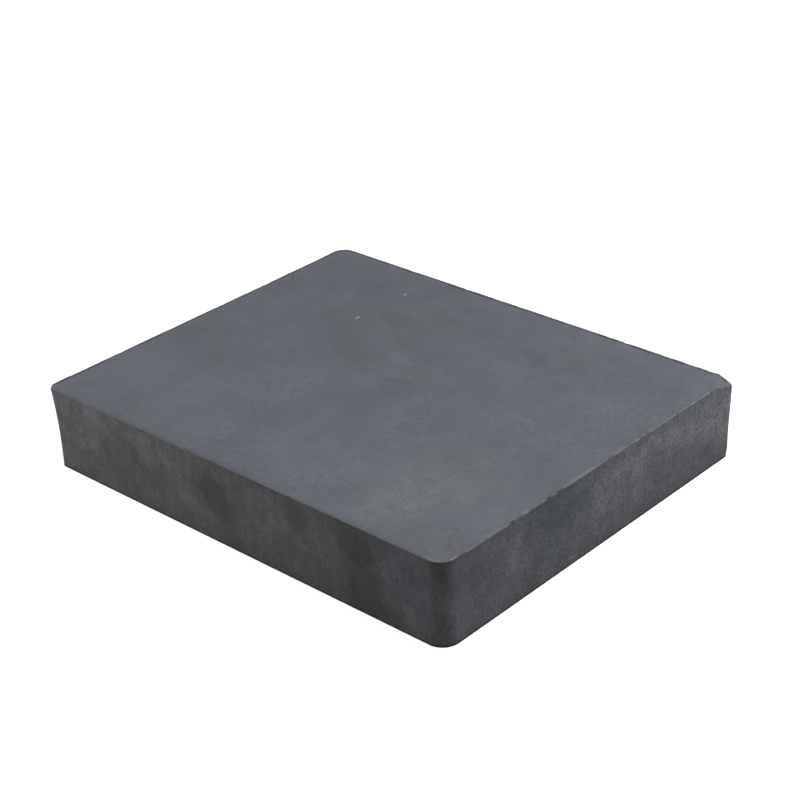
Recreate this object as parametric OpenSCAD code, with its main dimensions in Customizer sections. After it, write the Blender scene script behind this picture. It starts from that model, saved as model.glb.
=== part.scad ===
/* [Block] */
// Length of the block along X
block_l = 150; // [100:1:200]
// Width of the block along Y
block_w = 123; // [80:1:180]
// Thickness between the two ground pole faces
block_t = 25; // [15:0.5:40]

/* [Upright corners] */
// Radius of the upright corner at -X -Y
corner_r_left = 4.5; // [2:0.1:8]
// Radius of the upright corner at +X -Y
corner_r_front = 5.2; // [2:0.1:8]
// Radius of the upright corner at +X +Y, the sharpest of the four
corner_r_right = 1; // [1:0.1:8]
// Radius of the upright corner at -X +Y
corner_r_back = 4.3; // [2:0.1:8]

/* [Arris] */
// Width of the broken arris round each pole face
arris = 0.3; // [0.2:0.05:0.8]

/* [Rubbed corner] */
// Reach of the rubbed facet from the top of the +X +Y corner, along the +Y edge
rub_x = 4; // [3:0.5:8]
// Reach of the same facet along the +X edge
rub_y = 9; // [3:0.5:12]
// Reach of the same facet down the upright edge
rub_z = 2; // [1:0.25:4]
// Reach of the small facet at the foot of that corner, along each bottom edge
foot_rub = 1.1; // [0.9:0.1:2]
// Reach of the small facet up the upright edge
foot_rub_z = 4.5; // [2:0.5:8]

/* [Chips] */
// Chips broken out of the top arris on the +X side, the most knocked one
chips_at_plus_x = 16; // [1:1:24]
// Chips broken out of the top arris on the -X side
chips_at_minus_x = 2; // [1:1:12]
// Shallowest chip, measured in from where the two faces would meet
chip_shallow = 0.28; // [0.24:0.01:0.34]
// Deepest chip, measured the same way
chip_deep = 0.45; // [0.35:0.01:0.9]
// Radius of the roundest scoop that a chip leaves
scoop_r_small = 1.5; // [1:0.1:2]
// Radius of the flattest scoop that a chip leaves
scoop_r_large = 4; // [2.1:0.1:6]
// Pattern of the chips: each number breaks them in other places
chip_pattern = 7; // [1:1:99]

/* [Hidden] */
// How far a cutter runs past the surface that it opens
over = 2;
// Steps in a turn, for the upright corners and for the scoops
corner_steps = 96;
scoop_steps = 24;
// Half sizes, for placing things at the edges
half_l = block_l / 2;
half_w = block_w / 2;

// Section of a bar as it leaves the grinding wheel: a rectangle with its four arrises broken.
module ground_section(across) {
    half = across / 2;
    polygon([
        [-half, arris], [-half + arris, 0], [half - arris, 0], [half, arris],
        [half, block_t - arris], [half - arris, block_t],
        [-half + arris, block_t], [-half, block_t - arris]
    ]);
}

// The block with square upright corners, where one bar along each direction crosses the other.
module squared_block() {
    intersection() {
        translate([-half_l, 0, 0])
            rotate([90, 0, 90])
                linear_extrude(height = block_l)
                    ground_section(block_w);
        translate([0, half_w, 0])
            rotate([90, 0, 0])
                linear_extrude(height = block_w)
                    ground_section(block_l);
    }
}

// A quarter of this upright pillar is what the die leaves at a corner, arrises included.
module corner_pillar(r) {
    rotate_extrude($fn = corner_steps)
        polygon([
            [0, 0], [r - arris, 0], [r, arris],
            [r, block_t - arris], [r - arris, block_t], [0, block_t]
        ]);
}

// What the die keeps clear outside a rounded upright corner that points to +X +Y at the origin.
module corner_waste(r) {
    translate([-r, -r, 0])
        difference() {
            translate([0, 0, -over])
                cube([r + over, r + over, block_t + 2 * over]);
            corner_pillar(r);
        }
}

// The four corner wastes, each turned to point out of its own corner.
module all_corner_waste() {
    translate([half_l, half_w, 0]) corner_waste(corner_r_right);
    translate([-half_l, half_w, 0]) rotate([0, 0, 90]) corner_waste(corner_r_back);
    translate([-half_l, -half_w, 0]) rotate([0, 0, 180]) corner_waste(corner_r_left);
    translate([half_l, -half_w, 0]) rotate([0, 0, 270]) corner_waste(corner_r_front);
}

// A flat that handling has rubbed across a corner that points to +X +Y +Z at the origin.
// It passes through one point on each of the three edges that meet there.
module rubbed_flat(reach) {
    slope = [1 / reach[0], 1 / reach[1], 1 / reach[2]];
    turn = atan2(slope[1], slope[0]);
    tilt = acos(slope[2] / norm(slope));
    side = 4 * max(reach);
    translate([-reach[0], 0, 0])
        rotate([0, tilt, turn])
            translate([-side, -side, 0])
                cube([2 * side, 2 * side, side]);
}

// The two flats on the +X +Y corner: the long one at its top and the small one at its foot.
module all_rubbed_flats() {
    translate([half_l, half_w, block_t]) rubbed_flat([rub_x, rub_y, rub_z]);
    translate([half_l, half_w, 0]) mirror([0, 0, 1]) rubbed_flat([foot_rub, foot_rub, foot_rub_z]);
}

// Chips along an arris that runs in X at the origin, with the block below it and on its -Y side.
// A ceramic breaks in shallow shells, so each chip is a scoop out of a ball.
module chip_row(run, count, pattern) {
    pitch = run / count;
    shifts = rands(0.15, 0.85, count, pattern);
    balls = rands(scoop_r_small, scoop_r_large, count, pattern + 1);
    depths = rands(chip_shallow, chip_deep, count, pattern + 2);
    for (i = [0:count - 1]) {
        stand_off = (balls[i] - depths[i]) / sqrt(2);
        translate([pitch * (i + shifts[i]) - run / 2, stand_off, stand_off])
            sphere(r = balls[i], $fn = scoop_steps);
    }
}

// The rows of chips: on the two short top arrises, clear of the rubbed corner at one end.
module all_chips() {
    run = block_w - 2 * rub_y;
    translate([half_l, 0, block_t])
        rotate([0, 0, -90])
            chip_row(run, chips_at_plus_x, chip_pattern);
    translate([-half_l, 0, block_t])
        rotate([0, 0, 90])
            chip_row(run, chips_at_minus_x, chip_pattern + 3);
}

// The whole magnet: one pressed and sintered piece of hard ferrite, ground on its pole faces.
module ferrite_block() {
    color("dimgray")
        difference() {
            squared_block();
            all_corner_waste();
            all_rubbed_flats();
            all_chips();
        }
}

ferrite_block();
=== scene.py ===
# %% [markdown]
# # A block magnet
# A block magnet is one piece of hard ferrite, a ceramic. The powder is pressed in a die, sintered,
# and then only the two pole faces are ground flat. So one block carries three finishes: two smooth
# ground faces, four rough sides that kept the skin of the furnace, and a thin broken edge between
# them. This notebook builds the block as one mesh, and gives it those finishes.

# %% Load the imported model
import math

import bpy
from mathutils import Matrix, Vector


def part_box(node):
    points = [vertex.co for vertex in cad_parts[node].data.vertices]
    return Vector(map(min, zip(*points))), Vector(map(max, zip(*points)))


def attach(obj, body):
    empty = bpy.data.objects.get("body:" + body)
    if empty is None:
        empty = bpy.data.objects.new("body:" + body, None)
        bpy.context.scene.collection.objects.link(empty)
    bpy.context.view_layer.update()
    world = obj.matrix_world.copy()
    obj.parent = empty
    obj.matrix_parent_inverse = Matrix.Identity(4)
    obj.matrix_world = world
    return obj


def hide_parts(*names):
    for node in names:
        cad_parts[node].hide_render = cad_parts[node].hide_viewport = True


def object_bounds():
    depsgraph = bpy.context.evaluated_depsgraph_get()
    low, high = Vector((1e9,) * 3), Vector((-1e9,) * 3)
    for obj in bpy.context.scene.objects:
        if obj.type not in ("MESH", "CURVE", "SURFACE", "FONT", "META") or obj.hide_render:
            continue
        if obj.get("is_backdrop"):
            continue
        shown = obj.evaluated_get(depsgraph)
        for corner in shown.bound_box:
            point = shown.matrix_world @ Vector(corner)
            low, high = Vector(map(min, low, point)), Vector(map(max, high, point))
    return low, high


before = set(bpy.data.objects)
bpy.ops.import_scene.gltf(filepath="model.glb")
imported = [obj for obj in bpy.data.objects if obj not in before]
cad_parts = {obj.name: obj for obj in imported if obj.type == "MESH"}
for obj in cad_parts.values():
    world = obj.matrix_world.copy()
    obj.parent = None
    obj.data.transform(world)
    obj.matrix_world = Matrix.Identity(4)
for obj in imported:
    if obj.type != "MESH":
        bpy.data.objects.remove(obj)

cad_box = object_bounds()
MM = 0.001
low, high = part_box("ferrite_block")
length, width, thickness = high - low
half_l, half_w = length / 2, width / 2
print("block in mm:", [round(side / MM, 2) for side in (length, width, thickness)])

# %% [markdown]
# ## The camera
# A camera is easiest to place the way a person would: choose what it looks at, from which side,
# how high and how far. A long lens keeps the block's edges nearly parallel. The slight roll is
# that of a camera held by hand.

# %% Place the camera
AIM = Vector((-5.6, 11.8, 12.5)) * MM
AZIMUTH, ELEVATION, ROLL = (math.radians(angle) for angle in (43.37, 28.22, -2.6))
DISTANCE = 561.7 * MM
LENS, SENSOR_WIDTH = 86.83, 36  # mm


def camera_axes(azimuth, elevation, roll):
    """The camera's right, up and backward directions."""
    back = Vector((
        math.sin(azimuth) * math.cos(elevation),
        -math.cos(azimuth) * math.cos(elevation),
        math.sin(elevation),
    ))
    right = Vector((0, 0, 1)).cross(back).normalized()
    up = back.cross(right)
    turn = Matrix.Rotation(roll, 3, back)
    return turn @ right, turn @ up, back


def new_object(name, data):
    """Adds an object to the scene."""
    made = bpy.data.objects.new(name, data)
    bpy.context.scene.collection.objects.link(made)
    return made


right, up, back = camera_axes(AZIMUTH, ELEVATION, ROLL)
camera = new_object("camera", bpy.data.cameras.new("camera"))
camera.data.sensor_width = SENSOR_WIDTH
camera.data.lens = LENS
camera.data.clip_start = 10 * MM
turned = Matrix((right, up, back)).transposed().to_4x4()
camera.matrix_world = Matrix.Translation(AIM + back * DISTANCE) @ turned
bpy.context.scene.camera = camera
print("camera at", [round(x / MM, 1) for x in camera.matrix_world.translation], "mm")

# %% [markdown]
# ## Short ways to build node trees
# Geometry and materials are both node trees. Writing each node out in full hides what a tree
# does, so a few helpers come first. Each adds one node, joins up its inputs, and hands back what
# the next node needs.

# %% Helpers for node trees
def node(tree, kind, inputs=(), **settings):
    """Adds a node. inputs maps a socket's name or number to a value or to another node's output."""
    made = tree.nodes.new(kind)
    for name, value in settings.items():
        setattr(made, name, value)
    for key, value in dict(inputs).items():
        if isinstance(value, bpy.types.NodeSocket):
            tree.links.new(value, made.inputs[key])
        else:
            made.inputs[key].default_value = value
    return made


# %% Helpers for arithmetic
def calc(tree, operation, *values):
    """One step of arithmetic on numbers. The commonest steps have names of their own below."""
    return node(tree, "ShaderNodeMath", enumerate(values), operation=operation).outputs[0]


def times(tree, *values):
    made = values[0]
    for value in values[1:]:
        made = calc(tree, "MULTIPLY", made, value)
    return made


def named(operation):
    """A step of arithmetic under a name of its own."""
    def step(tree, *values):
        return calc(tree, operation, *values)
    return step


plus, minus, over, times_plus = map(named, ("ADD", "SUBTRACT", "DIVIDE", "MULTIPLY_ADD"))
more, less, larger, absolute = map(named, ("GREATER_THAN", "LESS_THAN", "MAXIMUM", "ABSOLUTE"))


def vector(tree, operation, *values, result="Vector"):
    """One step of arithmetic on vectors. result is Value for a length or a dot product."""
    made = node(tree, "ShaderNodeVectorMath", enumerate(values), operation=operation)
    return made.outputs[result]


def scaled(tree, value, scale):
    """A vector made longer or shorter, or a colour made lighter or darker."""
    made = node(tree, "ShaderNodeVectorMath", {0: value, "Scale": scale}, operation="SCALE")
    return made.outputs["Vector"]


def ramp(tree, value, start, end, to_start=0.0, to_end=1.0, smooth=True):
    """Maps start..end onto to_start..to_end and holds it there on either side."""
    kind = "SMOOTHSTEP" if smooth else "LINEAR"
    limits = {"Value": value, "From Min": start, "From Max": end, "To Min": to_start, "To Max": to_end}
    return node(tree, "ShaderNodeMapRange", limits, interpolation_type=kind).outputs["Result"]


def in_from(tree, value, edge, start, end, to_start=0.0, to_end=1.0):
    """0 at start mm in from an edge of the block, 1 at end mm in, and held on either side."""
    inward = -MM if edge > 0 else MM
    return ramp(tree, value, edge + start * inward, edge + end * inward, to_start, to_end)


def combine(tree, x, y, z):
    return node(tree, "ShaderNodeCombineXYZ", {"X": x, "Y": y, "Z": z}).outputs[0]


def split(tree, value):
    return node(tree, "ShaderNodeSeparateXYZ", {"Vector": value}).outputs


def noise(tree, where, size, detail=2.0, rough=0.5, result="Fac"):
    """Smooth random cloudiness from 0 to 1, with features about size metres across."""
    inputs = {"Vector": where, "Scale": 1 / size, "Detail": detail, "Roughness": rough}
    return node(tree, "ShaderNodeTexNoise", inputs, noise_dimensions="3D").outputs[result]


# %% Helpers for meshes
def new_sockets(tree, direction, sockets):
    """Adds named inputs or outputs, each with the value it starts from or the kind that it is."""
    for name, start in sockets.items():
        kind = {str: start, int: "Int", tuple: "Vector"}.get(type(start), "Float")
        made = tree.interface.new_socket(name, in_out=direction, socket_type="NodeSocket" + kind)
        if kind is not start:
            made.default_value = start


def mix(tree, share, a, b):
    """Blends two numbers: a where share is 0, b where it is 1."""
    return node(tree, "ShaderNodeMix", {0: share, 2: a, 3: b}, data_type="FLOAT").outputs[0]


def stored(tree, name):
    """Reads a number that an earlier step stored on the mesh."""
    return node(tree, "GeometryNodeInputNamedAttribute", {"Name": name}).outputs["Attribute"]


def store(tree, mesh, name, value, domain="POINT"):
    inputs = {"Geometry": mesh, "Name": name, "Value": value}
    made = node(tree, "GeometryNodeStoreNamedAttribute", inputs, data_type="FLOAT", domain=domain)
    return made.outputs[0]


def move(tree, mesh, **how):
    """Moves every point by an Offset, or to a new Position."""
    return node(tree, "GeometryNodeSetPosition", {"Geometry": mesh, **how}).outputs[0]


def here(tree):
    return node(tree, "GeometryNodeInputPosition").outputs[0]


# %% [markdown]
# ## The shape of the block
# The block follows a rule, so Geometry Nodes can make it. Picture a sheet of small squares wrapped
# round the block like a label: across the sheet is the way round the outline, and up the sheet is
# the section, from the bottom face over its broken edge, up the side and over onto the top face.
# The squares are smallest at the edges, where chips need them. Two flat caps close the sheet.
#
# Each upright corner keeps its own radius, because a die wears unevenly, and three of them are
# tighter at the top than at the bottom. The left one is nearly a flat, so its arc is pressed
# towards its chord. The width of the broken edge wanders, because a ceramic edge crumbles and
# never bevels cleanly.

# %% The die's outline, with its four rounded corners
CORNER_RADII = {  # at the bottom face and at the top face, in mm
    "Left": (3.45, 2.0),
    "Front": (5.2, 4.4),
    "Right": (0.5, 0.3),
    "Back": (4.3, 4.3),
}
LEFT_FLATNESS = 0.95  # how far the left corner's arc is pressed towards its chord
ARC_STEPS = 24
SIDE_DENSITY = 0.5  # the squares are this much narrower than average on the +X side


def outline_curve(tree, given, level):
    """The outline in plan at one level, Bottom or Top, as a closed curve."""
    sides = {"Width": given["Length"], "Height": given["Width"]}
    square = node(tree, "GeometryNodeCurvePrimitiveQuadrilateral", sides, mode="RECTANGLE")
    x, y, _ = split(tree, here(tree))
    east = more(tree, x, 0.0)
    north = more(tree, y, 0.0)
    near = mix(tree, east, given[f"Left Radius {level}"], given[f"Front Radius {level}"])
    far = mix(tree, east, given[f"Back Radius {level}"], given[f"Right Radius {level}"])
    arcs = {"Curve": square.outputs[0], "Count": ARC_STEPS, "Radius": mix(tree, north, near, far)}
    rounded = node(tree, "GeometryNodeFilletCurve", arcs, mode="POLY")
    x, y, _ = split(tree, here(tree))
    reach = minus(tree, times(tree, x, -1.0), y)
    sharp = times(tree, plus(tree, given["Length"], given["Width"]), 0.5)
    chord = minus(tree, sharp, given[f"Left Radius {level}"])
    beyond = larger(tree, minus(tree, reach, chord), 0.0)
    back = times(tree, beyond, times(tree, given["Left Flatness"], 0.5))
    return move(tree, rounded.outputs[0], Offset=combine(tree, back, back, 0.0))


def outline_point(tree, curve, share):
    """The point that lies a share of the way round an outline, counted from 0 to 1."""
    inputs = {"Curves": curve, "Factor": share}
    return node(tree, "GeometryNodeSampleCurve", inputs, mode="FACTOR").outputs["Position"]


def crowded(tree, given, share):
    """Shifts the shares so that the squares are smallest at the middle of the +X side. The outline
    starts at the end of that side, so its middle comes half a width before a full round."""
    around = times(tree, plus(tree, given["Length"], given["Width"]), 2.0)
    middle = over(tree, times(tree, given["Width"], -0.5), around)
    turn = times(tree, minus(tree, share, middle), math.tau)
    start = times(tree, middle, math.tau)
    wave = plus(tree, calc(tree, "SINE", turn), calc(tree, "SINE", start))
    return times_plus(tree, wave, -SIDE_DENSITY / math.tau, share)


def wrapped_point(tree, given, curves, share, inset, height):
    """The point at a share of the way round, an inset in from the side, at a height. The square of
    the level makes a corner tighten mostly near the top."""
    bottom, top = (outline_point(tree, curve, share) for curve in curves)
    level = over(tree, height, given["Thickness"])
    between = vector(tree, "SUBTRACT", top, bottom)
    lean = scaled(tree, between, times(tree, level, level))
    x, y, _ = split(tree, vector(tree, "ADD", bottom, lean))
    shrunk = []
    for across, size in ((x, given["Length"]), (y, given["Width"])):
        lost = over(tree, times(tree, inset, 2.0), size)
        shrunk.append(times(tree, across, minus(tree, 1.0, lost)))
    return combine(tree, *shrunk, height)


# %% The width of the broken edge
CRUMB_SIZE, NICK_SIZE, WEAR_SIZE = 2.2 * MM, 4 * MM, 9 * MM
WEAR_SHIFT = (0, 0, 0.03)  # takes the wear from another part of the noise
WORN_RUNS = ((20.5, 15.5), (-11, 4))  # middle and half length along Y of each worn run at -X, in mm


def worn_back(tree, x, y, length):
    """1 along the two runs of the -X edge that are worn back a little."""
    at_edge = ramp(tree, times_plus(tree, length, 0.5, x), 0.6 * MM, 0.2 * MM)
    runs = 0.0
    for middle, half in WORN_RUNS:
        off = absolute(tree, minus(tree, y, middle * MM))
        runs = larger(tree, runs, ramp(tree, off, (half + 0.8) * MM, (half - 0.8) * MM))
    return times(tree, at_edge, runs)


def broken_width(tree, given, share, curve, upper):
    """The width of the broken edge. It is narrow nearly all the way round, and wide and ragged
    along the knocked edge, which is the top one at +X."""
    place = outline_point(tree, curve, share)
    x, y, _ = split(tree, place)
    shifted = vector(tree, "ADD", place, combine(tree, 0.0, 0.0, upper))
    crumble = noise(tree, shifted, CRUMB_SIZE, 3.0, 0.65)
    run = minus(tree, given["Knocked Run"], absolute(tree, y))
    at_end = minus(tree, x, times(tree, given["Length"], 0.5))
    knocked = times(tree, ramp(tree, at_end, -0.6 * MM, -0.2 * MM), ramp(tree, run, 0.0, 0.8 * MM), upper)
    plain = times(tree, given["Plain Edge"], ramp(tree, crumble, 0.3, 0.7, 0.8, 1.25))
    nick = ramp(tree, noise(tree, place, NICK_SIZE, 3.0, 0.6), 0.54, 0.7)
    plain = times_plus(tree, times(tree, nick, upper), given["Nick Depth"], plain)
    front = ramp(tree, over(tree, y, given["Width"]), -0.45, -0.5)
    worn = noise(tree, vector(tree, "ADD", place, WEAR_SHIFT), WEAR_SIZE, 1.0)
    worn = ramp(tree, worn, 0.4, 0.62)
    worn = times(tree, worn, times(tree, front, upper))
    plain = times_plus(tree, worn, given["Wander"], plain)
    back = times(tree, worn_back(tree, x, y, given["Length"]), upper)
    plain = times_plus(tree, back, given["Worn Depth"], plain)
    ragged = times(tree, given["Broken Edge"], ramp(tree, crumble, 0.3, 0.75, 0.6, 1.6))
    return mix(tree, knocked, plain, ragged), knocked


# %% The section: side, broken edge and a strip of the ground face
CAP_INSET = 4 * MM     # the strip of ground face outside the cap
EDGE_SHARE = 0.56      # share of the rows that lie on the side, the rest lie on the face
SIDE_CROWDING = 1.6    # how strongly the rows crowd towards the edge, on the side
FACE_CROWDING = 1.5    # and on the face


def section(tree, given, row, edge):
    """From a row, -1 at the bottom cap to 1 at the top one, to an inset and a height.
    The way along the section is measured from the middle of the side."""
    reach = absolute(tree, row)
    half = times(tree, given["Thickness"], 0.5)
    side_run = minus(tree, half, edge)
    edge_run = times(tree, edge, math.sqrt(2))
    middle = plus(tree, side_run, times(tree, edge_run, 0.5))
    below = ramp(tree, reach, 0.0, EDGE_SHARE, 1.0, 0.0, smooth=False)
    above = ramp(tree, reach, EDGE_SHARE, 1.0, 0.0, 1.0, smooth=False)
    run_below = times(tree, calc(tree, "POWER", below, SIDE_CROWDING), middle)
    face_run = plus(tree, minus(tree, CAP_INSET, edge), times(tree, edge_run, 0.5))
    run_above = times(tree, calc(tree, "POWER", above, FACE_CROWDING), face_run)
    way = plus(tree, minus(tree, middle, run_below), run_above)
    past_side = larger(tree, minus(tree, way, side_run), 0.0)
    over_edge = calc(tree, "MINIMUM", past_side, edge_run)
    on_face = minus(tree, past_side, over_edge)
    drop = over(tree, over_edge, math.sqrt(2))
    rise = plus(tree, calc(tree, "MINIMUM", way, side_run), drop)
    inset = plus(tree, drop, on_face)
    height = times_plus(tree, rise, calc(tree, "SIGN", row), half)
    return inset, height


# %% The sheet and its caps
def wrapped_sheet(tree, given, curves):
    """The sheet that goes round the block, from the bottom cap to the top one."""
    sheet = node(tree, "GeometryNodeMeshGrid", {
        "Size X": 1.0, "Size Y": 2.0,
        "Vertices X": plus(tree, given["Steps Round"], 1.0),
        "Vertices Y": given["Rows"],
    })
    x, row, _ = split(tree, here(tree))
    share = crowded(tree, given, plus(tree, x, 0.5))
    upper = more(tree, row, 0.0)
    edge, knocked = broken_width(tree, given, share, curves[0], upper)
    inset, height = section(tree, given, row, edge)
    off_side = more(tree, inset, 1e-7)
    off_face = less(tree, inset, times(tree, edge, 0.999))
    on_edge = times(tree, off_side, off_face)
    marked = store(tree, sheet.outputs["Mesh"], "knocked", times(tree, on_edge, knocked))
    return move(tree, marked, Position=wrapped_point(tree, given, curves, share, inset, height))


def cap(tree, given, curves, upper):
    """The flat middle of a ground face, which closes the sheet."""
    disc = node(tree, "GeometryNodeMeshCircle", {"Vertices": given["Steps Round"]}, fill_type="NGON")
    index = node(tree, "GeometryNodeInputIndex").outputs[0]
    share = crowded(tree, given, over(tree, index, given["Steps Round"]))
    height = given["Thickness"] if upper else 0.0
    mesh = move(tree, disc.outputs[0], Position=wrapped_point(tree, given, curves, share, CAP_INSET, height))
    return mesh if upper else node(tree, "GeometryNodeFlipFaces", {0: mesh}).outputs[0]


# %% [markdown]
# ## Carving the chips and the rubbed corner
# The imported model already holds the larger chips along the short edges, so the fine mesh takes
# them from there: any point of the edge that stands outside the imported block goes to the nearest
# place on its surface. Handling has also rubbed a flat across the top of one corner, and a small
# one at its foot. Each is one plane through three edges: any point beyond it goes straight back
# onto it. How far a point moved is stored, so that the finish can show lighter ceramic there.

# %% Carve the mesh
CARVE_DEPTH = 2 * MM      # how far the chips reach from the edge
LEAST_CUT = 0.01 * MM     # a smaller step isn't a chip
RUBBED_TOP = Vector((4, 9, 2)) * MM          # how far each rubbed flat reaches from its corner
RUBBED_FOOT = Vector((1.1, 1.1, 4.5)) * MM


def nearest_packed(tree, given):
    packed = node(tree, "GeometryNodeObjectInfo", {"Object": given["Packed Block"]})
    nearest = node(tree, "GeometryNodeProximity", {0: packed.outputs["Geometry"]}, target_element="FACES")
    return nearest.outputs["Position"]


def chipped(tree, mesh, given):
    place = here(tree)
    step = vector(tree, "SUBTRACT", nearest_packed(tree, given), place)
    normal = node(tree, "GeometryNodeInputNormal").outputs[0]
    inward = vector(tree, "DOT_PRODUCT", step, normal, result="Value")
    x, y, z = split(tree, place)
    half = times(tree, given["Length"], 0.5)
    cut = times(
        tree,
        less(tree, inward, -LEAST_CUT),
        more(tree, z, minus(tree, given["Thickness"], CARVE_DEPTH)),
        more(tree, absolute(tree, x), minus(tree, half, CARVE_DEPTH)),
        less(tree, absolute(tree, y), given["Knocked Run"]),
    )
    depth = times(tree, cut, vector(tree, "LENGTH", step, result="Value"))
    return move(tree, store(tree, mesh, "chipped", depth), Offset=scaled(tree, step, cut))


def rubbed(tree, mesh, given, reach, top):
    """Cuts the +X +Y corner off along a plane, at its top or at its foot."""
    slope = Vector((1 / reach.x, 1 / reach.y, (1 if top else -1) / reach.z))
    facing = slope.normalized()
    corner = combine(tree, times(tree, given["Length"], 0.5), times(tree, given["Width"], 0.5),
                     given["Thickness"] if top else 0.0)
    from_corner = vector(tree, "SUBTRACT", here(tree), corner)
    height = vector(tree, "DOT_PRODUCT", from_corner, facing, result="Value")
    beyond = larger(tree, plus(tree, height, 1 / slope.length), 0.0)
    marked = store(tree, mesh, "rubbed_top" if top else "rubbed_foot", beyond)
    return move(tree, marked, Offset=scaled(tree, facing, times(tree, beyond, -1.0)))


# %% [markdown]
# ## The skin of the sides
# A pressed side is never a true plane. It is a hair waisted, because powder packs least in the
# middle of the die, and the furnace leaves it gently lumpy. It also bows slightly along its length
# as it shrinks, which this mesh leaves out. The ground faces have none of this, so every one of the
# moves below fades out at them.

# %% Relief on the pressed sides
LUMP_SIZE, PIMPLE_SIZE = 9 * MM, 1.6 * MM
RELIEF_FADE = 1.2 * MM   # the relief fades out over this distance from a ground face
FLARE_REACH = 9 * MM     # how far the proud corner reaches along the sides


def with_relief(tree, mesh, given):
    place = here(tree)
    x, y, z = split(tree, place)
    normal = node(tree, "GeometryNodeInputNormal").outputs[0]
    level = over(tree, z, given["Thickness"])
    from_face = times(tree, given["Thickness"], calc(tree, "PINGPONG", level, 0.5))
    on_side = ramp(tree, from_face, 0.0, RELIEF_FADE)
    lumps = minus(tree, noise(tree, place, LUMP_SIZE, detail=2.0), 0.5)
    pimples = minus(tree, noise(tree, place, PIMPLE_SIZE, detail=2.0, rough=0.6), 0.5)
    out = times(tree, lumps, given["Lump Height"])
    out = plus(tree, out, times(tree, pimples, given["Pimple Height"]))
    off_middle = times(tree, minus(tree, level, 0.5), 2.0)
    waist = minus(tree, 1.0, calc(tree, "POWER", absolute(tree, off_middle), 2.0))
    out = minus(tree, out, times(tree, waist, given["Waist"]))
    corner = scaled(tree, combine(tree, given["Length"], given["Width"], 0.0), 0.5)
    away = vector(tree, "DISTANCE", combine(tree, x, y, 0.0), corner, result="Value")
    proud = times(tree, ramp(tree, away, FLARE_REACH, 0.0), ramp(tree, level, 0.22, 0.92))
    out = times_plus(tree, proud, given["Proud Corner"], out)
    out = times(tree, out, on_side)
    return move(tree, mesh, Offset=scaled(tree, normal, out))


# %% [markdown]
# ## Putting the tree together
# The tree takes its sizes as named inputs, so the same rule would make any block of this kind.
# The faces of the two pole faces are marked before anything bends, because they take the ground
# finish, and everything else takes the pressed one.

# %% The whole tree
MERGE_DISTANCE = 0.004 * MM
FLAT_ENOUGH = 0.999  # how upright a face's normal is on a ground face


def block_inputs():
    sizes = {
        "Length": length, "Width": width, "Thickness": thickness, "Plain Edge": 0.12 * MM,
        "Broken Edge": 0.21 * MM, "Nick Depth": 0.22 * MM, "Knocked Run": 52.5 * MM,
        "Steps Round": 1400, "Rows": 65, "Lump Height": 0.16 * MM, "Pimple Height": 0.05 * MM,
        "Left Flatness": LEFT_FLATNESS, "Wander": 0.12 * MM, "Worn Depth": 0.24 * MM,
        "Waist": 0.08 * MM, "Proud Corner": 0.46 * MM,
    }
    for corner, radii in CORNER_RADII.items():
        for level, radius in zip(("Bottom", "Top"), radii):
            sizes[f"{corner} Radius {level}"] = radius * MM
    return sizes | {"Packed Block": "Object", "Ground Finish": "Material", "Pressed Finish": "Material"}


def block_tree():
    tree = bpy.data.node_groups.new("pressed_block", "GeometryNodeTree")
    new_sockets(tree, "INPUT", block_inputs())
    new_sockets(tree, "OUTPUT", {"Mesh": "Geometry"})
    given = tree.nodes.new("NodeGroupInput").outputs
    curves = [outline_curve(tree, given, level) for level in ("Bottom", "Top")]
    joined = node(tree, "GeometryNodeJoinGeometry")
    parts = [wrapped_sheet(tree, given, curves)]
    parts += [cap(tree, given, curves, upper) for upper in (True, False)]
    for part in parts:
        tree.links.new(part, joined.inputs[0])
    apart = {"Geometry": joined.outputs[0], "Distance": MERGE_DISTANCE}
    closed = node(tree, "GeometryNodeMergeByDistance", apart)
    facing = split(tree, node(tree, "GeometryNodeInputNormal").outputs[0])[2]
    flat = more(tree, absolute(tree, facing), FLAT_ENOUGH)
    mesh = store(tree, closed.outputs[0], "ground", flat, domain="FACE")
    mesh = chipped(tree, with_relief(tree, mesh, given), given)
    mesh = rubbed(tree, mesh, given, RUBBED_TOP, True)
    mesh = rubbed(tree, mesh, given, RUBBED_FOOT, False)
    for step in ("GeometryNodeSetShadeSmooth", "GeometryNodeRealizeInstances"):
        mesh = node(tree, step, {0: mesh}).outputs[0]
    ground = more(tree, stored(tree, "ground"), 0.5)
    for finish, where in (("Pressed Finish", True), ("Ground Finish", ground)):
        inputs = {"Geometry": mesh, "Selection": where, "Material": given[finish]}
        mesh = node(tree, "GeometryNodeSetMaterial", inputs).outputs[0]
    tree.links.new(mesh, tree.nodes.new("NodeGroupOutput").inputs[0])
    return tree


# %% Make the block
def made_by(tree, name, values):
    """Runs a geometry tree once and keeps its result as a plain mesh."""
    holder = new_object(name, bpy.data.meshes.new(name))
    modifier = holder.modifiers.new("build", "NODES")
    modifier.node_group = tree
    for item in tree.interface.items_tree:
        if item.in_out == "INPUT" and item.name in values:
            modifier[item.identifier] = values[item.name]
    graph = bpy.context.evaluated_depsgraph_get()
    ready = holder.evaluated_get(graph)
    mesh = bpy.data.meshes.new_from_object(ready, preserve_all_data_layers=True, depsgraph=graph)
    while mesh.materials and mesh.materials[0] is None:
        mesh.materials.pop(index=0)
    holder.modifiers.remove(modifier)
    holder.data = mesh
    mesh.name = name
    return holder


ground_finish = bpy.data.materials.new("ground_face")
pressed_finish = bpy.data.materials.new("pressed_side")
block = made_by(block_tree(), "magnet_block", {
    "Packed Block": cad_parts["ferrite_block"],
    "Ground Finish": ground_finish,
    "Pressed Finish": pressed_finish,
})
block.data.calc_loop_triangles()
print("magnet_block:", len(block.data.vertices), "points,", len(block.data.loop_triangles), "triangles")
print("attributes:", [layer.name for layer in block.data.attributes])
print("materials:", [finish.name for finish in block.data.materials])


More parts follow.
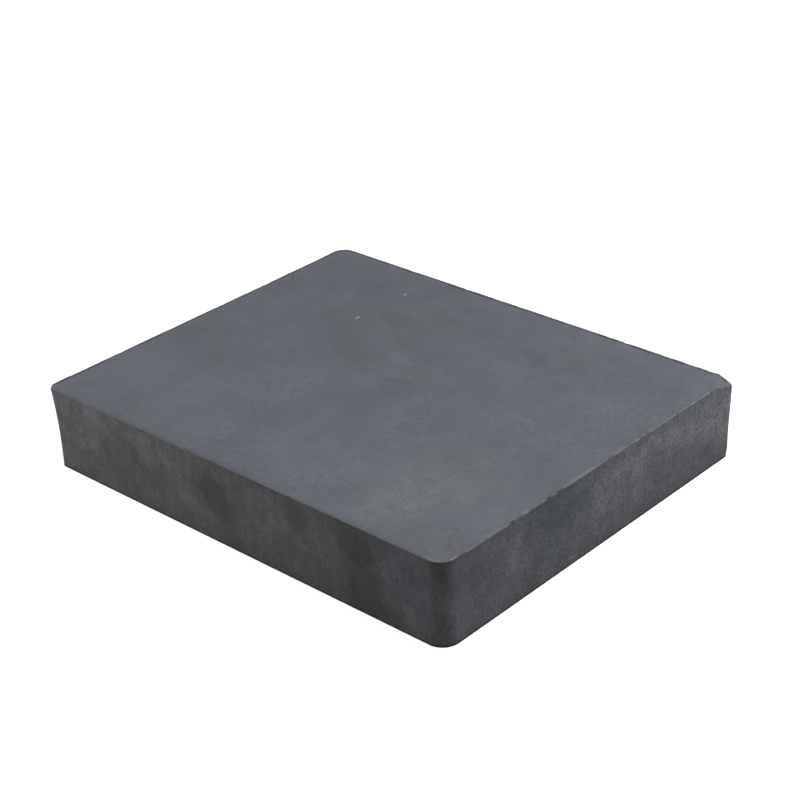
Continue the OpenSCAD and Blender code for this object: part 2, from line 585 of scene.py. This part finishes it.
# %% [markdown]
# ## Shared effects for the two finishes
# Both finishes need the same few effects: mottling at many sizes, a faint drift of colour, soft
# patches and small specks. Each is a node group, built once, and each finish places it with values
# of its own. All of them read the position on the block, so nothing slides when the block or the
# camera moves.

# %% Node groups: mottle and tinge
def new_group(name, inputs, outputs):
    group = bpy.data.node_groups.new(name, "ShaderNodeTree")
    new_sockets(group, "INPUT", inputs)
    new_sockets(group, "OUTPUT", outputs)
    ends = [group.nodes.new(kind) for kind in ("NodeGroupInput", "NodeGroupOutput")]
    return group, ends[0].outputs, ends[1].inputs


def use(tree, group, *values):
    """Places a group, with a value for each input in turn, and hands back what it puts out."""
    return node(tree, "ShaderNodeGroup", enumerate(values), node_tree=group).outputs


def scaled_place(group, given, unit):
    """The position in units of one of the inputs, moved on by Seed."""
    place = scaled(group, given["Vector"], over(group, 1.0, given[unit]))
    return vector(group, "ADD", place, combine(group, given["Seed"], given["Seed"], given["Seed"]))


def mottle_group():
    """Random shading, 1 on average. Detail adds finer clouds below Size, Fineness is how strong
    each finer one is, Stretch draws them all out, and Amount is how far they stray from 1."""
    group, given, end = new_group(
        "mottle",
        {"Vector": "Vector", "Size": 10 * MM, "Stretch": (1, 1, 1), "Detail": 3.0, "Fineness": 0.6,
         "Amount": 0.1, "Seed": 0.0},
        {"Shade": "Float", "Height": "Float"},
    )
    drawn = vector(group, "DIVIDE", scaled_place(group, given, "Size"), given["Stretch"])
    cloud = noise(group, drawn, 1.0, detail=given["Detail"], rough=given["Fineness"])
    spread = times(group, minus(group, cloud, 0.5), 4.0)
    group.links.new(times_plus(group, spread, given["Amount"], 1.0), end["Shade"])
    group.links.new(cloud, end["Height"])
    return group


def tinge_group():
    """A faint drift of colour: each channel is 1 on average and wanders on its own."""
    group, given, end = new_group(
        "tinge",
        {"Vector": "Vector", "Size": 30 * MM, "Amount": 0.02, "Seed": 0.0},
        {"Colour": "Vector"},
    )
    drift = noise(group, scaled_place(group, given, "Size"), 1.0, detail=3.0, rough=0.7, result="Color")
    centred = vector(group, "MULTIPLY_ADD", drift, (4, 4, 4), (-2, -2, -2))
    strayed = scaled(group, centred, given["Amount"])
    group.links.new(vector(group, "ADD", strayed, (1, 1, 1)), end["Colour"])
    return group


# %% Node groups: patch and specks
def patch_group():
    """A soft oval patch on one face: 1 inside, 0 outside. Across and Along are the place on that
    face, Turn turns the patch, Fade is how soft it is, from 0 to 1, and Wander times Ragged moves
    its outline in and out. It works on plain numbers only, which costs a shader the least."""
    group, given, end = new_group(
        "soft_patch",
        {"Across": 0.0, "Along": 0.0, "Wander": 0.0, "Centre Across": 0.0, "Centre Along": 0.0,
         "Half Across": 10 * MM, "Half Along": 10 * MM, "Turn": 0.0, "Fade": 0.5, "Ragged": 1.0},
        {"Mask": "Float"},
    )
    across = minus(group, given["Across"], given["Centre Across"])
    along = minus(group, given["Along"], given["Centre Along"])
    cosine, sine = (calc(group, wave, given["Turn"]) for wave in ("COSINE", "SINE"))
    turned_across = times_plus(group, along, sine, times(group, across, cosine))
    turned_along = minus(group, times(group, along, cosine), times(group, across, sine))
    squares = [calc(group, "POWER", absolute(group, over(group, way, given[half])), 2.0)
               for way, half in ((turned_across, "Half Across"), (turned_along, "Half Along"))]
    distance = calc(group, "SQRT", plus(group, *squares))
    distance = times_plus(group, given["Wander"], given["Ragged"], distance)
    mask = ramp(group, distance, minus(group, 1.0, given["Fade"]), 1.0, 1.0, 0.0)
    group.links.new(mask, end["Mask"])
    return group


def specks_group():
    """Small round specks, scattered: 1 on a speck, 0 between them."""
    group, given, end = new_group(
        "specks",
        {"Vector": "Vector", "Spacing": 2 * MM, "Radius": 0.3 * MM, "Share": 0.5, "Seed": 0.0},
        {"Mask": "Float"},
    )
    place = scaled_place(group, given, "Spacing")
    cells = node(group, "ShaderNodeTexVoronoi", {"Vector": place, "Scale": 1.0})
    away = times(group, cells.outputs["Distance"], given["Spacing"])
    chance, size, _ = split(group, cells.outputs["Color"])
    radius = times(group, given["Radius"], plus(group, size, 0.5))
    round_speck = ramp(group, away, times(group, radius, 0.4), radius, 1.0, 0.0)
    kept = less(group, chance, given["Share"])
    group.links.new(times(group, round_speck, kept), end["Mask"])
    return group


MOTTLE, TINGE, PATCH, SPECKS = mottle_group(), tinge_group(), patch_group(), specks_group()
print("shared effects:", [group.name for group in (MOTTLE, TINGE, PATCH, SPECKS)])

# %% Helpers that place the effects
def mottle(tree, where, size, amount, seed, stretch=(1, 1, 1), detail=3.0, fineness=0.6):
    """Mottling that starts at a size in mm."""
    return use(tree, MOTTLE, where, size * MM, stretch, detail, fineness, amount, seed)


def tinge(tree, where, size, amount, seed):
    return use(tree, TINGE, where, size * MM, amount, seed)["Colour"]


WANDER_SIZE = 4.5 * MM   # size of the waves in the patches' outlines
OFF_FACE_STRETCH = 20.0  # how fast a place off the face reads as far away


def spot_on_face(tree, where, across, along, off_face):
    """A place on one face, for the patches there: across, along and the wander of their outlines.
    Off that face the place reads as far away, so that a patch stays on its own face."""
    wander = minus(tree, noise(tree, where, WANDER_SIZE, detail=5.0, rough=0.7), 0.5)
    excess = larger(tree, off_face, 0.0)
    return across, times_plus(tree, excess, OFF_FACE_STRETCH, along), wander


def patch(tree, spot, place, fade=0.5, ragged=1.0, turn=0):
    """The mask of a soft patch. place is its centre and its half sizes in mm, turn is in degrees."""
    sizes = [size * MM for size in place]
    return use(tree, PATCH, *spot, *sizes, math.radians(turn), fade, ragged)["Mask"]


def with_patches(tree, colour, spot, patches, fade=0.5, ragged=1.0):
    """Tints a colour by each patch of a list in turn. A patch is its centre and its half sizes in
    mm, its tint, and its turn in degrees if it has one."""
    for values in patches:
        mask = patch(tree, spot, values[:4], fade, ragged, *values[7:])
        colour = tinted(tree, colour, mask, values[4:7])
    return colour


def specks(tree, where, spacing, radius, share, seed):
    return use(tree, SPECKS, where, spacing * MM, radius * MM, share, seed)["Mask"]


def blend(tree, share, a, b, how="MIX"):
    """Mixes two colours: a where share is 0, b where it is 1."""
    inputs = {0: share, 6: a, 7: b}
    return node(tree, "ShaderNodeMix", inputs, data_type="RGBA", blend_type=how).outputs[2]


def tinted(tree, colour, mask, tint):
    """Multiplies a colour by a tint where the mask is 1, and leaves it alone where it is 0."""
    return blend(tree, mask, colour, (*tint, 1), "MULTIPLY")


def stretches(tree, where, size, share, seed):
    """1 along some stretches of an edge and 0 between them. share is about how much is covered."""
    cloud = mottle(tree, where, size, 1.0, seed, detail=2.0)["Height"]
    return ramp(tree, cloud, 0.66 - 0.3 * share, 0.74 - 0.3 * share)


SPECULAR_LEVEL = 0.3


def cleared_tree(owner):
    """The emptied node tree of a material or of the world."""
    owner.use_nodes = True
    owner.node_tree.nodes.clear()
    return owner.node_tree


def new_finish(material):
    """Clears a material and hands back its tree, its shader and the position on the block."""
    tree = cleared_tree(material)
    shader = tree.nodes.new("ShaderNodeBsdfPrincipled")
    out = tree.nodes.new("ShaderNodeOutputMaterial")
    tree.links.new(shader.outputs[0], out.inputs["Surface"])
    return tree, shader, tree.nodes.new("ShaderNodeTexCoord").outputs["Object"]


def finish_surface(tree, shader, rough, height, strength, distance):
    """Joins up the roughness and a bump, whose distance is in mm."""
    tree.links.new(rough, shader.inputs["Roughness"])
    shader.inputs["Specular IOR Level"].default_value = SPECULAR_LEVEL
    inputs = {"Strength": strength, "Distance": distance * MM, "Height": height}
    tree.links.new(node(tree, "ShaderNodeBump", inputs).outputs[0], shader.inputs["Normal"])


def mark(tree, name):
    """Reads a number that the geometry tree stored on the mesh."""
    made = node(tree, "ShaderNodeAttribute", attribute_name=name, attribute_type="GEOMETRY")
    return made.outputs["Fac"]


# %% [markdown]
# ## The ground pole face
# A diamond wheel leaves the pole face flat and satin, a blue grey that is lighter than the sides.
# From close by it shows the wheel's fine scratches, all along one direction and clearer in some
# places than in others, wide soft bands along the same direction, and clouds of slightly greener,
# bluer or browner grey where the coolant dried. It is painted lighter towards the front, where more
# light falls. Near the edges it is a little darker along the front one, painted shade for the face
# rounding off there; lighter along the knocked edge, a painted highlight; and it has a dark rim of
# painted shade along the two far ones. All of it is faint, so it is colour and a little bump, and
# never geometry.

# %% Patches of the ground faces
GROUND_COLOUR = (0.099, 0.1102, 0.1321)
# Most patches are the face's own clouds of tone; the large light ones towards the front right corner are
# partly painted light, where the face is lit most.
GROUND_PATCHES = (  # along X and Y
    (-27, 30, 28, 42, 0.965, 0.97, 0.97), (-12, -22, 24, 16, 1.04, 1.035, 1.035),
    (30, -6, 24, 15, 1.04, 1.033, 1.03), (26, -50, 18, 15, 1.05, 1.045, 1.04),
    (-28, -48, 26, 16, 1.03, 1.03, 1.035), (66, -28, 14, 26, 1.035, 1.035, 1.02),
    (56, 26, 50, 56, 1, 0.985, 0.972), (-14, 28, 40, 34, 0.955, 0.985, 0.97, -15),
    (-22, 36, 10, 14, 0.92, 0.95, 0.92), (-12, 6, 12, 7, 0.93, 0.96, 0.95, -20),
    (32, 44, 5, 18, 1.05, 1.09, 1.06), (60, -34, 28, 34, 1.06, 1.055, 1.05),
    (48, -15, 8, 8, 1.11, 1.09, 1.05), (33, 5, 6, 8, 1.07, 1.07, 1.06), (16, 6, 4.5, 4.5, 1.06, 1.05, 1.05),
    (5, 9, 9, 9, 1.03, 1.07, 1.04, -35), (-21, 18, 6, 5, 0.93, 0.93, 0.94, -30),
    (-14, 44, 8, 5, 1, 0.965, 0.975), (-8, 25, 9, 6, 0.99, 0.96, 0.96),
    (-7, 33.5, 4.5, 4, 1.05, 1.06, 1.06), (61, -27, 5, 6, 0.95, 0.93, 0.9),
    (53, -42, 4, 6, 1.07, 1.06, 1.09), (36, -12, 5, 5, 1.04, 1.08, 1.06), (-68, -8, 6, 7, 1.04, 1.07, 1.07),
    (-57, -8, 6, 6, 0.94, 0.93, 0.94), (62, 42, 6, 8, 1.04, 1.06, 1.05), (5, -33, 5, 18, 0.955, 0.95, 0.95),
    (38, -56, 10, 6, 1.05, 1.04, 1.07), (59, -49, 6, 6, 0.9, 0.91, 0.97),
    (-23, 10, 17, 7, 0.83, 0.87, 0.85, -28), (-13, 3, 9, 5, 0.92, 0.93, 0.93, -30),
    (-23, 32, 12, 6, 0.86, 0.89, 0.88, -20), (4, 0, 11, 6, 0.87, 0.9, 0.89, -35),
    (14, 41, 14, 4, 0.92, 0.94, 0.93, -8), (25, 37, 9, 5, 0.87, 0.88, 0.87, -35),
    (42, 24, 4, 16, 0.92, 0.92, 0.92, -10), (-53, 46, 24, 14, 0.95, 0.94, 0.95),
    (-50, 22, 18, 9, 0.93, 0.94, 0.93, -20), (-42, -15, 10, 6, 0.94, 0.93, 0.94, -20),
    (6, -16, 7, 8, 0.92, 0.91, 0.91), (-7, 14, 9, 5, 1.05, 1.09, 1.08, -30),
    (23, 27, 14, 6, 1.02, 1.09, 1.07, -30), (58, 26, 10, 7, 1.03, 1.07, 1.06, -30),
    (18, 51, 14, 7, 1, 1.06, 1.04), (48, 49, 8, 7, 0.91, 0.91, 0.93), (48, 4, 22, 10, 1.06, 1.06, 1.07),
    (46, -36, 20, 26, 1.14, 1.14, 1.06), (50, -50, 20, 10, 1.11, 1.1, 1.05),
    (34, -38, 8, 12, 1.06, 1.04, 1.09), (64, -31, 5, 7, 0.91, 0.91, 0.94),
    (46, -34, 3.2, 2.6, 0.88, 0.88, 0.89), (-27, -27, 10, 5, 1.02, 1.08, 1.05, -10),
    (-68, -36, 8, 14, 1.04, 1.08, 1.07), (-5, -42, 5, 6, 1.06, 1.07, 1.07),
    (68, -56, 11, 9, 1.1, 1.07, 1.01), (-9, -32, 7, 6, 0.93, 0.92, 0.92),
)
GROUND_SPECKS = ((-34.5, 46.8, 0.5, 1.3), (-35, 26, 0.6, 1.4))
SPECK_COLOUR = (0.34, 0.36, 0.38, 1)


# %% Finish of the ground faces
def finish_ground(material):
    tree, shader, where = new_finish(material)
    x, y, z = split(tree, where)

    # clouds, soft bands and the wheel's scratches
    clouds = mottle(tree, where, 18, 0.23, 3.3, detail=6.0, fineness=0.84)
    bands = mottle(tree, where, 8, 0.045, 5.1, stretch=(1, 9, 1), detail=2.0)
    clearer = mottle(tree, where, 14, 1.0, 7.7, stretch=(1, 3, 1))["Height"]
    clearer = ramp(tree, clearer, 0.42, 0.6, 0.25, 1.0)
    hatch = mottle(tree, where, 0.66, 1.0, 1.9, stretch=(1, 3.5, 1), detail=1.0)
    scratched = times(tree, minus(tree, hatch["Shade"], 1.0), clearer)
    scratched = times_plus(tree, scratched, 0.23, 1.0)
    shade = times(tree, clouds["Shade"], bands["Shade"], scratched)
    colour = scaled(tree, GROUND_COLOUR, shade)
    colour = vector(tree, "MULTIPLY", colour, tinge(tree, where, 15, 0.014, 11.0))

    # lighter towards the front and darker towards the back, painted light for how the light falls across the
    # face, and the patches
    colour = tinted(tree, colour, ramp(tree, y, -8 * MM, -42 * MM), (1.13, 1.12, 1.115))
    colour = tinted(tree, colour, ramp(tree, y, 0.0, 42 * MM), (0.955, 0.96, 0.965))
    spot = spot_on_face(tree, where, x, y, minus(tree, thickness / 2, z))
    colour = with_patches(tree, colour, spot, GROUND_PATCHES, fade=0.75)

    # lighter along the knocked edge, a painted highlight broken into stretches, and lighter round the front
    # corner
    knock_and_highlight = times(tree, in_from(tree, x, half_l, 1.2, 0.6), ramp(tree, y, 30 * MM, -5 * MM, 0.3, 1.0),
                   stretches(tree, where, 6, 0.65, 3.0))
    colour = tinted(tree, colour, knock_and_highlight, (1.5, 1.48, 1.47))
    radius = CORNER_RADII["Front"][1] * MM
    middle = Vector((half_l - radius, radius - half_w, 0.0))
    from_middle = vector(tree, "SUBTRACT", combine(tree, x, y, 0.0), middle)
    away = vector(tree, "LENGTH", from_middle, result="Value")
    round_front = times(tree, ramp(tree, away, 2.8 * MM, 3.8 * MM),
                        in_from(tree, x, half_l, 8, 4), in_from(tree, y, -half_w, 8, 4))
    colour = tinted(tree, colour, round_front, (1.22, 1.17, 1.09))

    # darker along the front edge: painted shade, standing in for the face rounding off there
    rounded = times(tree, in_from(tree, y, -half_w, 2.8, 0.2), ramp(tree, x, 24 * MM, 6 * MM, 0.6, 1.0))
    rounded = times(tree, rounded, in_from(tree, x, half_l, 8, 14))
    colour = tinted(tree, colour, rounded, (0.8, 0.81, 0.79))

    # a light line, and a dark rim of painted shade along the two far edges, both broken up
    inner = larger(tree, in_from(tree, y, half_w, 3.0, 1.8), in_from(tree, x, -half_l, 2.9, 1.8))
    inner = times(tree, inner, stretches(tree, where, 5, 0.7, 1.2))
    colour = tinted(tree, colour, inner, (1.15, 1.18, 1.12))
    rim_shade = larger(tree, in_from(tree, y, half_w, 1.7, 1.2), in_from(tree, x, -half_l, 1.6, 1.1))
    half_kept = times_plus(tree, stretches(tree, where, 8, 0.7, 9.1), 0.5, 0.5)
    colour = tinted(tree, colour, times(tree, rim_shade, half_kept), (0.34, 0.33, 0.32))

    # light specks
    for place in GROUND_SPECKS:
        speck = patch(tree, spot, place, fade=0.7, ragged=0.5)
        colour = blend(tree, speck, colour, SPECK_COLOUR)
    grit = specks(tree, where, 4.0, 0.3, 0.6, 6.0)
    colour = blend(tree, times(tree, grit, 0.18), colour, SPECK_COLOUR)
    tree.links.new(colour, shader.inputs["Base Color"])

    rough = ramp(tree, hatch["Height"], 0.3, 0.7, 0.5, 0.6, smooth=False)
    finish_surface(tree, shader, rough, times(tree, hatch["Height"], clearer), 0.3, 0.02)


finish_ground(ground_finish)
print(ground_finish.name, "has", len(ground_finish.node_tree.nodes), "nodes")

# %% [markdown]
# ## The pressed side
# The sides keep the skin that they had in the furnace: darker, rougher, sandy and blotchy, and
# drawn upright where the block slid out of the die. The two long sides are smeared with faint
# brown and olive, the short ones are colder. Painted shade runs along the edges: a thin dark line
# under the top edge, a darker foot with a dark contact shadow along the bottom, and a dark band down
# the front corner. Where the edge is chipped the fresh ceramic shows lighter, and along the knocked
# edge it also carries a painted highlight.

# %% Patches of the pressed sides
SIDE_COLOUR = (0.0935, 0.097, 0.1085, 1)
LONG_SIDE_COLOUR = (0.0985, 0.099, 0.1025, 1)
FRESH_BREAK = (0.23, 0.24, 0.25, 1)
SIDE_REACH = 3 * MM  # how far round a corner the patches of a side still show
# Most patches are the skin's own blotches. The large light ones at the left end of the long side and the
# dark ones at its right end, towards the front corner, are partly painted light and shade.
LONG_SIDE_PATCHES = (  # along X and Z
    (-22, 21, 11, 6, 1.11, 1.11, 1.12), (-22, 11, 9, 9, 1.05, 1.05, 1.05), (7, 8, 10, 10, 1.08, 1.08, 1.1),
    (-37, 5, 9, 6, 1.09, 1.09, 1.1), (37, 12, 10, 17, 0.93, 0.93, 0.94), (52, 22, 9, 5, 0.91, 0.91, 0.92),
    (67, 4, 7, 6, 0.93, 0.94, 0.93), (-62, 18, 17, 10, 1.33, 1.33, 1.35),
    (-44, 24.5, 30, 5.5, 1.15, 1.14, 1.14), (-66, 8, 11, 7, 1.14, 1.13, 1.04),
    (-50.5, 15, 3.2, 6, 0.8, 0.79, 0.75), (-45.5, 21, 3.5, 3.5, 1.04, 1.06, 0.94),
    (-38.5, 16, 3.2, 3.5, 0.84, 0.84, 0.84), (-30, 19.5, 11, 5, 1.28, 1.28, 1.31, -10),
    (-18, 14, 5.5, 10, 1.2, 1.19, 1.12), (-35, 7, 16, 6, 0.97, 0.97, 1.01),
    (-5.5, 14.5, 6.5, 9, 0.57, 0.57, 0.53, 25), (-13, 16.5, 3.5, 4, 0.74, 0.74, 0.72),
    (-1, 6, 4, 6, 0.86, 0.86, 0.85, 25), (-11, 3.5, 12, 4, 0.98, 1, 1.05),
    (17.5, 17, 4.5, 6, 1.18, 1.21, 1.22), (13, 15.5, 2.5, 4, 0.84, 0.84, 0.85),
    (-46, 20.5, 5.5, 5, 1.24, 1.23, 1.23), (-34.5, 17, 4.5, 4, 1.16, 1.15, 1.14),
    (-29, 9.5, 6, 3.5, 1.13, 1.11, 1.1), (6, 9.5, 8, 5, 1.1, 1.09, 1.13),
    (29, 7, 3.5, 3.5, 0.9, 0.91, 0.91), (-36, 13, 4, 2.5, 0.88, 0.88, 0.87),
    (56, 23, 6, 3.5, 0.8, 0.81, 0.86), (54.5, 9, 2.5, 3.5, 1.26, 1.27, 1.34),
    (61, 18.5, 3, 4, 1.1, 1.12, 1.08), (25.5, 20, 5, 6, 0.74, 0.73, 0.69), (34, 16, 7, 8, 1.08, 1.07, 1.04),
    (45, 20, 9, 7, 0.66, 0.65, 0.61, -20), (48.5, 8, 8.5, 13, 0.57, 0.56, 0.52),
    (58, 3, 6, 5, 0.72, 0.72, 0.72), (64, 13, 9, 15, 0.91, 0.93, 1.04), (47, 13, 9, 16, 0.94, 0.94, 0.95),
)
SHORT_SIDE_PATCHES = (  # along Y and Z
    (-46, 14, 17, 15, 1.055, 1.055, 1.08), (14, 21, 15, 5, 1.06, 1.06, 1.06),
    (24, 13, 8, 6, 1.05, 1.05, 1.05), (54, 5, 10, 6, 0.92, 0.92, 0.91), (38, 8, 10, 9, 0.96, 0.955, 0.94),
    (0, 4, 17, 6, 0.96, 0.955, 0.955), (-51, 18, 8, 8, 0.86, 0.87, 0.88),
    (-36, 16, 6, 7, 1.22, 1.21, 1.2, -15), (-16, 20, 16, 8.5, 0.67, 0.75, 0.77, -12),
    (-28.5, 17, 2.4, 8, 0.8, 0.81, 0.83), (3, 4, 10, 5, 0.89, 0.89, 0.9), (12, 6, 4, 4, 0.92, 0.91, 0.91),
    (-8, 16.5, 3.5, 3.5, 1.13, 1.1, 1.1), (-4, 15, 2.5, 3, 1.1, 1.12, 1.13),
    (54.5, 16, 3.5, 4, 1.12, 1.12, 1.11), (-17.5, 22, 3.5, 3, 0.84, 0.84, 0.84),
    (20, 17, 5.2, 4.5, 1.36, 1.36, 1.35, -10), (11.5, 15.5, 4.5, 4.5, 0.85, 0.84, 0.84),
    (37, 3, 32, 6.5, 0.81, 0.81, 0.83), (46, 5, 3.5, 3, 0.88, 0.88, 0.89),
    (47, 12, 4, 2.5, 0.88, 0.87, 0.87, -12), (-36, 4, 7, 5, 1.05, 1.05, 1.06),
    (-6, 17, 5, 5, 0.76, 0.8, 0.82), (-21, 9, 6, 4, 0.94, 1, 1.02), (0, 16, 3, 6, 1.2, 1.17, 1.15),
    (14, 18, 8, 8, 1.2, 1.19, 1.18), (38, 17, 24, 4, 1.26, 1.25, 1.24, -12),
    (42, 9, 16, 3.5, 0.84, 0.84, 0.86, -12), (25, 11, 4, 5, 0.88, 0.87, 0.87),
    (59, 14, 4, 12, 1.12, 1.06, 1.09),
)
YELLOW_MARK = (64, 6.3, 2.4, 4.8, 1.22, 1.28, 0.88)


# %% Finish of the pressed sides
def painted_edge_shading(tree, colour, where):
    """Painted shade along the edges: a thin dark line under the top edge, darker under the top of the
    +X side, a darker foot and a contact shadow along the bottom. The line leaves out the knocked
    edge's broken strip, which is lighter."""
    x, y, z = split(tree, where)
    # painted shade: a thin dark line just under the top edge
    shade_under_top = in_from(tree, z, thickness, 0.8, 0.4)
    shade_under_top = times(tree, shade_under_top, minus(tree, 1.0, mark(tree, "knocked")))
    broken_up = times_plus(tree, stretches(tree, where, 7, 0.7, 8.8), 0.5, 0.5)
    broken_up = times(tree, broken_up, ramp(tree, x, -25 * MM, 10 * MM, 0.2, 1.0))
    colour = tinted(tree, colour, times(tree, shade_under_top, broken_up), (0.82, 0.82, 0.83))
    # painted shade under the top of the +X side, strongest towards the front
    shade = times(tree, in_from(tree, z, thickness, 3, 1), in_from(tree, x, half_l, 3, 1))
    shade = times(tree, shade, ramp(tree, y, 10 * MM, -5 * MM, 0.3, 1.0))
    colour = tinted(tree, colour, shade, (0.86, 0.88, 0.88))
    # painted shade: the sides darker towards the foot over the lowest 5 mm, where less light reaches
    foot = ramp(tree, z, 5 * MM, 0.0)
    colour = tinted(tree, colour, foot, (0.9, 0.9, 0.89))
    # painted contact shadow: a dark line along the bottom edge
    contact_shadow = ramp(tree, z, 0.9 * MM, 0.5 * MM)
    return tinted(tree, colour, contact_shadow, (0.16, 0.155, 0.15))


def finish_side(material):
    tree, shader, where = new_finish(material)
    x, y, z = split(tree, where)

    # the skin: clouds, upright drag marks, sand and a drift of colour
    long_side = in_from(tree, absolute(tree, y), half_w, 3, 0.5)
    colour = blend(tree, long_side, SIDE_COLOUR, LONG_SIDE_COLOUR)
    clouds = mottle(tree, where, 14, 0.4, 1.3, detail=5.0, fineness=0.84)
    drags = mottle(tree, where, 3.0, 0.16, 2.6, stretch=(1, 1, 2.6), detail=2.0)
    sand = mottle(tree, where, 0.9, 1.0, 3.9, detail=1.0)
    sandiness = ramp(tree, y, -50 * MM, -25 * MM, 0.34, 0.46)
    sandiness = times(tree, sandiness, ramp(tree, x, -60 * MM, -20 * MM, 0.75, 1.0))
    sand_shade = times_plus(tree, minus(tree, sand["Shade"], 1.0), sandiness, 1.0)
    colour = scaled(tree, colour, times(tree, clouds["Shade"], drags["Shade"], sand_shade))
    colour = vector(tree, "MULTIPLY", colour, tinge(tree, where, 12, 0.034, 12.0))

    # the patches, the yellow mark, the dark band of painted shade on the front corner, and the painted shade
    # of the edges
    on_long = spot_on_face(tree, where, x, z, plus(tree, y, half_w - SIDE_REACH))
    on_short = spot_on_face(tree, where, y, z, minus(tree, half_l - SIDE_REACH, x))
    colour = with_patches(tree, colour, on_long, LONG_SIDE_PATCHES)
    colour = with_patches(tree, colour, on_short, SHORT_SIDE_PATCHES)
    colour = with_patches(tree, colour, on_long, [YELLOW_MARK], fade=0.8, ragged=2.6)
    corner_shade = times(tree, in_from(tree, x, half_l, 4.0, 3.5), in_from(tree, y, -half_w, 2.5, 1.5),
                 in_from(tree, z, thickness, 6, 4, 0.4, 1.0))
    colour = tinted(tree, colour, corner_shade, (0.74, 0.73, 0.7))
    colour = painted_edge_shading(tree, colour, where)

    # dark pits, light grains, and fresh ceramic, which along the knocked edge also carries a painted
    # highlight
    pits = specks(tree, where, 1.5, 0.28, 0.7, 2.0)
    colour = tinted(tree, colour, pits, (0.7, 0.7, 0.7))
    sparkles = specks(tree, where, 2.3, 0.3, 0.5, 5.0)
    colour = blend(tree, times(tree, sparkles, 0.35), colour, FRESH_BREAK)
    chips = ramp(tree, mark(tree, "chipped"), 0.02 * MM, 0.12 * MM)
    knock_and_highlight = times(tree, mark(tree, "knocked"), ramp(tree, y, 30 * MM, 0.0, 0.75, 1.2),
                   stretches(tree, where, 6, 0.8, 3.0))
    fresh_and_highlight = larger(tree, chips, knock_and_highlight)
    colour = blend(tree, times(tree, fresh_and_highlight, 0.75), colour, FRESH_BREAK)

    # the sharp corner is lighter, worn and with a painted highlight on its edge, and its rubbed flat is worn
    # lighter
    worn = times(tree, in_from(tree, x, half_l, 0.7, 0.2), in_from(tree, y, half_w, 0.7, 0.2))
    colour = tinted(tree, colour, worn, (1.35, 1.3, 1.3))
    rubbed_flat = ramp(tree, mark(tree, "rubbed_top"), 0.0, 0.2 * MM)
    colour = tinted(tree, colour, rubbed_flat, (1.14, 1.11, 1.11))
    tree.links.new(colour, shader.inputs["Base Color"])

    rough = ramp(tree, sand["Height"], 0.3, 0.7, 0.72, 0.88, smooth=False)
    finish_surface(tree, shader, rough, sand["Height"], 0.5, 0.06)


finish_side(pressed_finish)
print(pressed_finish.name, "has", len(pressed_finish.node_tree.nodes), "nodes")

# %% [markdown]
# ## Floor, world and lamps
# A plain studio: a white floor that keeps the block's shadow, a pale world, and four soft lamps:
# one above, one far behind, and a low one on each side. The floor looks white because of its own
# colour and a little glow that only the camera sees, so the lamps can stay at a plain level.

# %% Floor and world
FLOOR_HALF = 2.5
FLOOR_COLOUR = (0.6, 0.6, 0.6, 1)
FLOOR_GLOW = 0.84
WORLD_LEVEL = 0.25


def seen_directly(tree):
    """1 for rays that show the background: from the camera, a reflection or through glass."""
    path = tree.nodes.new("ShaderNodeLightPath").outputs
    seen = larger(tree, path["Is Camera Ray"], path["Is Glossy Ray"])
    return larger(tree, seen, path["Is Transmission Ray"])


def floor_material():
    material = bpy.data.materials.new("white_floor")
    tree = cleared_tree(material)
    matte = node(tree, "ShaderNodeBsdfDiffuse", {"Color": FLOOR_COLOUR})
    glow = node(tree, "ShaderNodeEmission", {"Strength": times(tree, seen_directly(tree), FLOOR_GLOW)})
    both = node(tree, "ShaderNodeAddShader", {0: matte.outputs[0], 1: glow.outputs[0]})
    out = tree.nodes.new("ShaderNodeOutputMaterial")
    tree.links.new(both.outputs[0], out.inputs["Surface"])
    return material


corners = [(-1, -1, 0), (1, -1, 0), (1, 1, 0), (-1, 1, 0)]
floor_mesh = bpy.data.meshes.new("floor")
floor_mesh.from_pydata([Vector(c) * FLOOR_HALF for c in corners], [], [(0, 1, 2, 3)])
floor_mesh.materials.append(floor_material())
floor = new_object("floor", floor_mesh)
floor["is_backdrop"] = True

world = bpy.data.worlds.new("studio")
bpy.context.scene.world = world
sky = cleared_tree(world)
level = ramp(sky, seen_directly(sky), 0.0, 1.0, WORLD_LEVEL, 1.0, smooth=False)
air = node(sky, "ShaderNodeBackground", {"Color": (1, 1, 1, 1), "Strength": level})
sky_out = sky.nodes.new("ShaderNodeOutputWorld")
sky.links.new(air.outputs[0], sky_out.inputs["Surface"])

# %% Lamps
def lamp(name, place, size, watts):
    """A square soft lamp that faces the middle of the block."""
    data = bpy.data.lights.new(name, "AREA")
    data.shape = "SQUARE"
    data.size = size
    data.energy = watts
    made = new_object(name, data)
    made.location = place
    made.visible_camera = False
    aim = Vector((0, 0, thickness / 2)) - made.location
    made.rotation_euler = aim.to_track_quat("-Z", "Y").to_euler()
    return made


lamps = [
    lamp("lamp_above", (0.03, -0.02, 0.25), 0.06, 0.135),
    lamp("lamp_behind", (-0.5, 0.6, 0.7), 0.6, 0.22),
    lamp("lamp_left", (-0.4, -0.2, 0.12), 0.2, 0.82),
    lamp("lamp_right", (0.2, 0.16, 0.16), 0.12, 0.4),
]
print("lamps:", [(l.name, l.data.energy) for l in lamps])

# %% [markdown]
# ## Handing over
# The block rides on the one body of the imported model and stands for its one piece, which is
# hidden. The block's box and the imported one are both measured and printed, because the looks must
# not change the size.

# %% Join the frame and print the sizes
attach(block, "root")
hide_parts("ferrite_block")

bpy.context.scene.view_settings.view_transform = "Standard"

sizes = {"cad": [list(corner) for corner in cad_box], "visual": [list(corner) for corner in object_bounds()]}
for name, box in sizes.items():
    print(name, "box in mm:", [[round(side / MM, 3) for side in corner] for corner in box])
